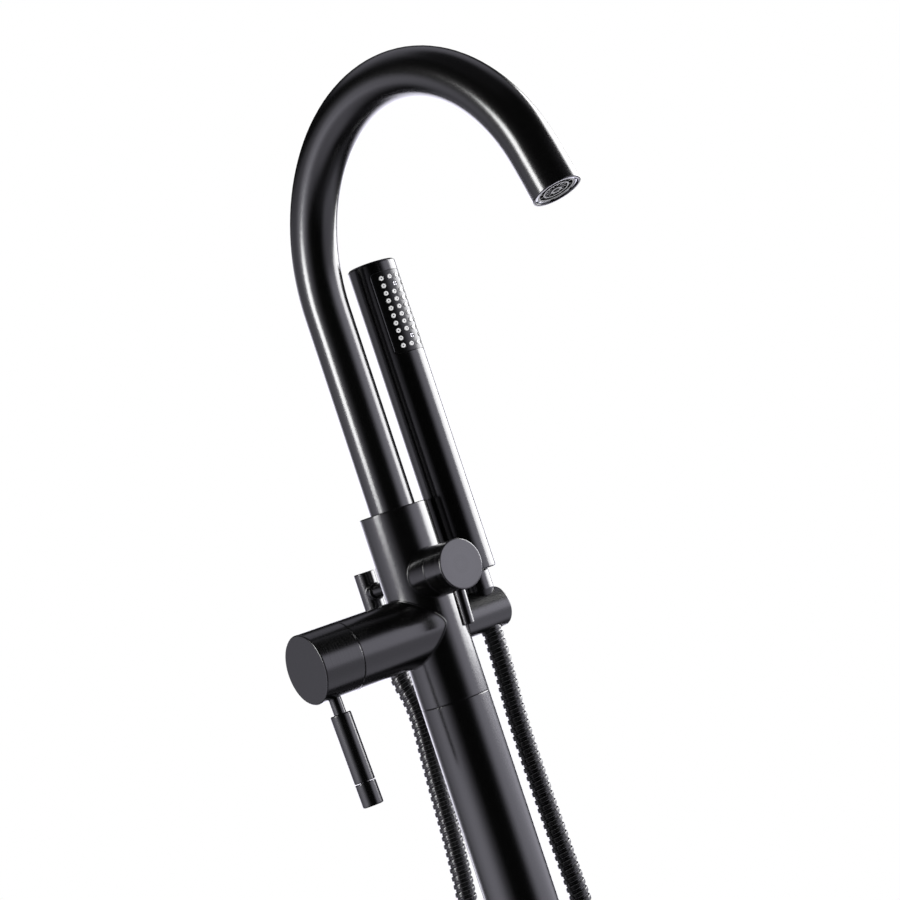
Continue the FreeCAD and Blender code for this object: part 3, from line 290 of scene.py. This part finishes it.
def satin_black(name="satin_black", sheen=(0.19, 0.24), specular=0.9):
    """Sprayed satin coat: near black, with the faint orange peel and grain of the coat. Sheen is its
    roughness, from and to."""
    material, tree, shader = base_material(name, (0.0006, 0.0006, 0.00065), 0.24, specular=specular)
    grain = noise(tree, scale=1500.0, detail=3.0, roughness=0.6)
    peel = noise(tree, scale=320.0, detail=1.0, roughness=0.4)
    vary_colour(tree, shader, peel, dark=(0.0005, 0.0005, 0.00055), light=(0.0007, 0.0007, 0.00075))
    vary_roughness(tree, shader, grain, *sheen)
    relief = maths(tree, "ADD", grain, maths(tree, "MULTIPLY", peel, PEEL_SHARE))
    bump(tree, shader, relief, depth=0.000018, strength=0.5, wear_and_highlight=COAT_WORN)
    return material


def turned_black(name, centre, axis, specular):
    """The satin coat over a piece turned about an axis through centre, whose fine rings show through it."""
    material, tree, shader = base_material(name, (0.0008, 0.0008, 0.00085), 0.22, specular=specular)
    sockets = {0: place_on_object(tree), 1: centre}
    offset = node(tree, "ShaderNodeVectorMath", sockets, operation="SUBTRACT").outputs["Vector"]
    square = tuple(0.0 if letter == axis else 1.0 for letter in "XYZ")
    flat = node(tree, "ShaderNodeVectorMath", {0: offset, 1: square}, operation="MULTIPLY").outputs["Vector"]
    radius = node(tree, "ShaderNodeVectorMath", {0: flat}, operation="LENGTH").outputs["Value"]
    along = node(tree, "ShaderNodeSeparateXYZ", {"Vector": offset}).outputs[axis]
    outline = node(tree, "ShaderNodeCombineXYZ", {"X": radius, "Y": along}).outputs["Vector"]
    rings = node(tree, "ShaderNodeTexNoise", {"Vector": outline, "Scale": 900.0, "Detail": 3.0}).outputs["Fac"]
    vary_roughness(tree, shader, rings, low=0.17, high=0.27)
    bump(tree, shader, rings, depth=0.00003, strength=0.5, wear_and_highlight=COAT_WORN)
    return material


def hose_black():
    """Satin black on the hose's wound strip, with a painted highlight: greyer colour along the edges of its
    bands.
    """
    material, tree, shader = base_material("hose_black", (0.0007, 0.0007, 0.0007), 0.2, specular=0.8)
    # painted highlight: the base colour turns grey where the strip's shoulders would catch the light
    wear_and_highlight = node(tree, "ShaderNodeAttribute", attribute_name="wear_and_highlight").outputs["Fac"]
    painted_highlight_colour = mix_colours(tree, wear_and_highlight, (0.0005, 0.0005, 0.0005), (0.07, 0.07, 0.074))
    feed(tree, shader.inputs["Base Color"], painted_highlight_colour)
    vary_roughness(tree, shader, noise(tree, scale=900.0, detail=3.0), low=0.17, high=0.25)
    bump(tree, shader, noise(tree, scale=1500.0), depth=0.000006, strength=0.4)
    return material


def brushed(name, color, roughness, stretch=(1.0, 1.0, 0.04)):
    """Turned or drawn metal with fine lines. Stretch below 1 draws the lines out along that axis."""
    material, tree, shader = base_material(name, color, roughness, metallic=1.0)
    lines = noise(tree, scale=2400.0, detail=4.0, roughness=0.6, stretch=stretch)
    vary_roughness(tree, shader, lines, *(roughness * share for share in BRUSHED_SHEEN))
    bump(tree, shader, lines, depth=0.000008, strength=0.5)
    return material


def moulded(name, color, roughness, grain=1400.0, depth=0.000012):
    """Moulded plastic, rubber or ceramic with a fine grain."""
    material, tree, shader = base_material(name, color, roughness)
    texture = noise(tree, scale=grain, detail=3.0)
    dark, light = (tuple(min(1.0, channel * share) for channel in color) for share in MOULDED_TONE)
    vary_colour(tree, shader, texture, dark, light)
    vary_roughness(tree, shader, texture, *(roughness * share for share in MOULDED_SHEEN))
    bump(tree, shader, texture, depth, strength=0.5)
    return material


def recesses_with_painted_shade(name, dark, light, reach, sky=(0.3, 0.85)):
    """Moulded material with painted shade: its holes and grooves, up to reach deep, are coloured dark as their
    surroundings close in. Sky is the share of open surroundings at which it is dark, and at which it is light."""
    material, tree, shader = base_material(name, light, 0.38, specular=0.4)
    grain = noise(tree, scale=900.0)
    sockets = {"Distance": reach}
    # painted shade: how closed in the surface is darkens its colour
    occlusion_for_painted_shade = node(tree, "ShaderNodeAmbientOcclusion", sockets, samples=OPEN_SKY_SAMPLES, only_local=True)
    share = ramp(tree, occlusion_for_painted_shade.outputs["AO"], *sky, 0.0, 1.0)
    feed(tree, shader.inputs["Base Color"], mix_colours(tree, share, dark, light))
    vary_roughness(tree, shader, grain, low=0.34, high=0.44)
    bump(tree, shader, grain, depth=0.00001, strength=0.5)
    return material


def all_materials():
    """The material of each slot."""
    return {
        "black_finish": satin_black(),
        "base_steel": brushed("base_steel", (0.32, 0.33, 0.34), 0.38, stretch=(1.0, 1.0, 1.0)),
        "screw_steel": brushed("screw_steel", (0.45, 0.45, 0.46), 0.28, stretch=(1.0, 0.1, 1.0)),
        "pipe_steel": brushed("pipe_steel", (0.62, 0.62, 0.64), 0.3),
        "seal_rubber": moulded("seal_rubber", (0.016, 0.016, 0.016), 0.6),
        "cartridge_plastic": moulded("cartridge_plastic", (0.72, 0.73, 0.75), 0.45),
        "disc_ceramic": moulded("disc_ceramic", (0.86, 0.85, 0.82), 0.2, grain=500.0),
        "inner_brass": brushed("inner_brass", (0.72, 0.55, 0.27), 0.3, stretch=(1.0, 1.0, 0.3)),
        "aerator_chrome": brushed("aerator_chrome", (0.7, 0.71, 0.73), 0.1, stretch=(1.0, 1.0, 1.0)),
        # painted shade in the holes of the aerator's face
        "aerator_plastic": recesses_with_painted_shade("aerator_plastic", dark=(0.001, 0.001, 0.001), light=(0.3, 0.3, 0.31),
                                         reach=0.003, sky=(0.72, 0.98)),
        # painted shade in the nozzles' holes
        "nozzle_silicone": recesses_with_painted_shade("nozzle_silicone", dark=(0.002, 0.002, 0.002),
                                         light=(0.84, 0.84, 0.85), reach=0.0012),
        "plate_black": moulded("plate_black", (0.0008, 0.0008, 0.0008), 0.3, grain=2600.0, depth=0.000008),
        "hose_black": hose_black(),
    }


def dress_nodes(materials):
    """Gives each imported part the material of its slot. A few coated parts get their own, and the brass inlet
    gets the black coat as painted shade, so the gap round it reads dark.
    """
    # painted shade: the brass inlet in the handset's gap is coloured black like the coat
    own = {"handset_inlet": materials["black_finish"]}
    for name, (finish, sheen, specular) in OWN_COATS.items():
        own[name] = satin_black(finish, sheen, specular)
    for name, (axis, specular) in TURNED_PIECES.items():
        low, high = (Vector(corner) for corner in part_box(name))
        own[name] = turned_black(name + "_black", tuple((low + high) / 2), axis, specular)
    for part in frame["record"]["subparts"]:
        piece = frame["nodes"][part["node"]]
        piece.data.materials.clear()
        piece.data.materials.append(own.get(part["node"], materials[part["material_slot"]]))


# ---- mesh helpers ----
def ring_corner(centre, across, radius, angle):
    """A place at an angle round a centre. Across is the pair of directions that the angle turns between."""
    side, other = across
    return centre + side * radius * math.cos(angle) + other * radius * math.sin(angle)


def add_piece(name, built, material):
    """An object made from a built mesh."""
    mesh = bpy.data.meshes.new(name)
    built.to_mesh(mesh)
    built.free()
    mesh.materials.append(material)
    piece = bpy.data.objects.new(name, mesh)
    bpy.context.scene.collection.objects.link(piece)
    return piece


# ---- the hose ----
def hose_curve():
    """The hose's line: a smooth spline with the route's points as its control points."""
    curve = bpy.data.curves.new("hose_line", "CURVE")
    curve.dimensions = "3D"
    curve.resolution_u = 24
    spline = curve.splines.new("NURBS")
    spline.points.add(len(HOSE_ROUTE) - 1)
    for control, place in zip(spline.points, HOSE_ROUTE):
        control.co = (*place, 1.0)
    spline.order_u = 3
    spline.use_endpoint_u = True
    return bpy.data.objects.new("hose_line", curve)


def curve_points(curve):
    """Points along a curve from the start of the hose's route. The curve is deleted."""
    bpy.context.scene.collection.objects.link(curve)
    bpy.context.view_layer.update()
    mesh = bpy.data.meshes.new_from_object(curve)
    points = [vertex.co.copy() for vertex in mesh.vertices]
    bpy.data.meshes.remove(mesh)
    bpy.data.objects.remove(curve)
    start = Vector(HOSE_ROUTE[0])
    if (points[0] - start).length > (points[-1] - start).length:
        points.reverse()
    return points


def even_points(points, step):
    """Points a steady step apart along a line of points, with its length."""
    lengths = [0.0]
    for before, after in zip(points, points[1:]):
        lengths.append(lengths[-1] + (after - before).length)
    total = lengths[-1]
    count = max(2, round(total / step))
    made = []
    index = 0
    for k in range(count + 1):
        target = total * k / count
        while index < len(points) - 2 and lengths[index + 1] < target:
            index += 1
        # 1e-9 keeps two equal points from dividing by zero
        share = (target - lengths[index]) / max(1e-9, lengths[index + 1] - lengths[index])
        made.append(points[index].lerp(points[index + 1], min(1.0, share)))
    return made, total


def frames_along(centres):
    """Two directions square to the line at each point, turning as little as they can."""
    side = HOSE_ACROSS
    frames = []
    for index in range(len(centres)):
        ahead = centres[min(index + 1, len(centres) - 1)] - centres[max(index - 1, 0)]
        ahead.normalize()
        side = (side - ahead * side.dot(ahead)).normalized()
        frames.append((side, ahead.cross(side)))
    return frames


def hose_stations(total):
    """(distance, depth, painted highlight) along every turn of the strip."""
    turns = int((total - 2 * HOSE_PLAIN) / HOSE_PITCH) + 1
    outline = HOSE_TURN
    return [((turn + share) * HOSE_PITCH, depth, painted_highlight) for turn in range(-1, turns + 1)
            for share, depth, painted_highlight in outline]


def hose_rings(built, centres, frames, total):
    """The corners of the wound surface. Every ring is a turn of the strip, so the grooves wind."""
    step = total / (len(centres) - 1)
    wear_and_highlight = built.verts.layers.float.new("wear_and_highlight")
    rings = []
    for distance, depth, painted_highlight in hose_stations(total):
        ring = []
        for k in range(HOSE_SIDES + 1):
            along = min(max(distance + HOSE_PITCH * k / HOSE_SIDES, 0.0), total)
            from_end = min(along, total - along)
            radius = HOSE_D / 2 - (depth if from_end > HOSE_PLAIN else 0.0)
            low = min(int(along / step), len(centres) - 2)
            share = along / step - low
            centre = centres[low].lerp(centres[low + 1], share)
            across = frames[low if share < 0.5 else low + 1]
            corner = built.verts.new(ring_corner(centre, across, radius, 2 * math.pi * k / HOSE_SIDES))
            # the corner's share of painted highlight, turned into greyer colour by the hose's material
            corner[wear_and_highlight] = painted_highlight
            ring.append(corner)
        rings.append(ring)
    return rings


def hose_piece(centres, total, material):
    """The hose as one wound surface, closed at both ends."""
    frames = frames_along(centres)
    built = bmesh.new()
    rings = hose_rings(built, centres, frames, total)
    for first, second in zip(rings, rings[1:]):
        for k in range(HOSE_SIDES):
            corners = (first[k], first[k + 1], second[k + 1], second[k])
            # past the ends the corners fall together, and no face is made there
            if len({tuple(round(value, HOSE_DIGITS) for value in corner.co) for corner in corners}) == 4:
                built.faces.new(corners).smooth = True
    for centre, across, outward in ((centres[0], frames[0], False), (centres[-1], frames[-1], True)):
        cap = [built.verts.new(ring_corner(centre, across, HOSE_D / 2, 2 * math.pi * k / HOSE_SIDES))
               for k in range(HOSE_SIDES)]
        built.faces.new(cap if outward else cap[::-1])
    bmesh.ops.remove_doubles(built, verts=built.verts, dist=HOSE_WELD)
    loose = [vertex for vertex in built.verts if not vertex.link_faces]
    bmesh.ops.delete(built, geom=loose, context="VERTS")
    built.normal_update()
    piece = add_piece("shower_hose_wound", built, material)
    piece.data.set_sharp_from_angle(angle=HOSE_SHARP)
    return piece


def add_hose(materials):
    line, _ = even_points(curve_points(hose_curve()), HOSE_PATH_STEP)
    centres, total = even_points(line, HOSE_STEP)
    hose = hose_piece(centres, total, materials["hose_black"])
    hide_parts("shower_hose")
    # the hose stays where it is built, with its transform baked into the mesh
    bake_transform(hose)


# ---- joints ----
def joint_line(radius, height, outward, across):
    """The closed line where something round meets the barrel."""
    places = []
    for k in range(BEAD_PLACES):
        angle = 2 * math.pi * k / BEAD_PLACES
        sideways = radius * math.cos(angle)
        out = math.sqrt(COLUMN_R ** 2 - sideways ** 2)
        places.append(outward * out + across * sideways + UP * (height + radius * math.sin(angle)))
    return places


def bead(name, places, material):
    """A closed round bead through places, fixed to the stand."""
    steep = 0.9                        # rise of the line from which +X and not +Z sets the bead's sides
    built = bmesh.new()
    count = len(places)
    rings = []
    last = None
    for index, place in enumerate(places):
        ahead = (places[(index + 1) % count] - places[index - 1]).normalized()
        side = ahead.cross(UP if abs(ahead.z) < steep else Vector((1, 0, 0))).normalized()
        if last is not None and side.dot(last) < 0:
            side = -side
        last = side
        across = (side, ahead.cross(side))
        rings.append([built.verts.new(ring_corner(place, across, BEAD_R, 2 * math.pi * k / BEAD_SIDES))
                      for k in range(BEAD_SIDES)])
    for index in range(count):
        first, second = rings[index], rings[(index + 1) % count]
        for k in range(BEAD_SIDES):
            after = (k + 1) % BEAD_SIDES
            built.faces.new((first[k], first[after], second[after], second[k])).smooth = True
    bmesh.ops.recalc_face_normals(built, faces=built.faces)
    piece = add_piece(name, built, material)
    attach(piece, "stand")


def add_joints(materials):
    """The rounded joints where the boss and the arm meet the barrel."""
    for name, *shape in JOINTS:
        bead(name, joint_line(*shape), materials["black_finish"])


# ---- studio ----
def add_floor():
    """Pale floor that fades into the white backdrop towards its rim."""
    material, tree, shader = base_material("floor_pale", (0.86, 0.86, 0.86), 0.7)
    sockets = {0: place_on_object(tree)}
    far = node(tree, "ShaderNodeVectorMath", sockets, operation="LENGTH").outputs["Value"]
    glow = node(tree, "ShaderNodeEmission", {"Color": (1.0, 1.0, 1.0, 1.0)})
    faded = mix_shaders(tree, ramp(tree, far, *FLOOR_FADE, 0.0, 1.0), shader.outputs["BSDF"],
                        glow.outputs["Emission"])
    feed(tree, tree.nodes["Material Output"].inputs["Surface"], faded)
    built = bmesh.new()
    bmesh.ops.create_circle(built, cap_ends=True, segments=96, radius=FLOOR_R)
    floor = add_piece("floor", built, material)
    floor.visible_glossy = False


def apart(tree, across, middle):
    """Degrees between a direction and a middle, the short way round."""
    shifted = maths(tree, "SUBTRACT", across, middle - 1.5 * FULL_TURN)
    wrapped = maths(tree, "FLOORED_MODULO", shifted, FULL_TURN)
    return maths(tree, "ABSOLUTE", maths(tree, "SUBTRACT", wrapped, FULL_TURN / 2))


def softbox(tree, across, height, middle, inner, outer, low, high, strength):
    """Light of one patch of the studio, full up to inner degrees from its middle and gone at outer. Low and
    high are the pairs of heights that it fades in and out between."""
    wide = ramp(tree, apart(tree, across, middle), inner, outer, 1.0, 0.0)
    tall = maths(tree, "MULTIPLY", ramp(tree, height, *low, 0.0, 1.0), ramp(tree, height, *high, 1.0, 0.0))
    return maths(tree, "MULTIPLY", maths(tree, "MULTIPLY", wide, tall), strength)


def studio_light(tree):
    """Strength of the studio's light in each direction."""
    # turns the directions so that the photographer stands towards -Y
    sockets = {"Vector": node(tree, "ShaderNodeTexCoord").outputs["Generated"],
               "Rotation": (0.0, 0.0, CAMERA_AZIMUTH)}
    turned = node(tree, "ShaderNodeMapping", sockets, vector_type="POINT").outputs["Vector"]
    parts = node(tree, "ShaderNodeSeparateXYZ", {"Vector": turned}).outputs
    degrees = 180.0 / math.pi
    back = maths(tree, "MULTIPLY", parts["Y"], -1.0)
    across = maths(tree, "MULTIPLY", maths(tree, "ARCTAN2", parts["X"], back), degrees)
    height = maths(tree, "MULTIPLY", maths(tree, "ARCSINE", parts["Z"]), degrees)
    light = STUDIO_DARK
    for patch in STUDIO:
        light = maths(tree, "ADD", softbox(tree, across, height, *patch), light)
    return light


def add_world():
    """White backdrop for the camera. What gloss mirrors is a studio: softboxes on both sides, white behind
    the object and dark behind the photographer. Matt surfaces get plain light."""
    world = bpy.data.worlds.new("studio")
    bpy.context.scene.world = world
    world.use_nodes = True
    tree = world.node_tree
    tree.nodes.clear()
    rays = node(tree, "ShaderNodeLightPath").outputs
    mirrored = background(tree, GLOSS_TINT, studio_light(tree))
    plain = background(tree, (1.0, 1.0, 1.0), PLAIN_LIGHT)
    white = background(tree, (1.0, 1.0, 1.0), 1.0)
    in_gloss = maths(tree, "MAXIMUM", rays["Is Glossy Ray"], rays["Is Transmission Ray"])
    light = mix_shaders(tree, in_gloss, plain, mirrored)
    node(tree, "ShaderNodeOutputWorld", {"Surface": mix_shaders(tree, rays["Is Camera Ray"], light, white)})


def add_lamp(name, degrees, away, height, size, power):
    """Softbox that stands at an angle round to the photographer's right and faces the column."""
    turn = math.radians(degrees)
    place = (CAMERA_SIDE * math.sin(turn) - CAMERA_AHEAD * math.cos(turn)) * away + UP * height
    data = bpy.data.lights.new(name, "AREA")
    data.shape = "RECTANGLE"
    data.size, data.size_y = size
    data.energy = power
    lamp = bpy.data.objects.new(name, data)
    lamp.location = place
    lamp.rotation_euler = (UP * height - place).to_track_quat("-Z", "Y").to_euler()
    lamp.visible_camera = False
    bpy.context.scene.collection.objects.link(lamp)


materials = all_materials()
dress_nodes(materials)
add_camera()
add_hose(materials)
add_joints(materials)
add_floor()
add_world()
for lamp in LAMPS:
    add_lamp(*lamp)

bpy.context.scene.view_settings.view_transform = "Standard"
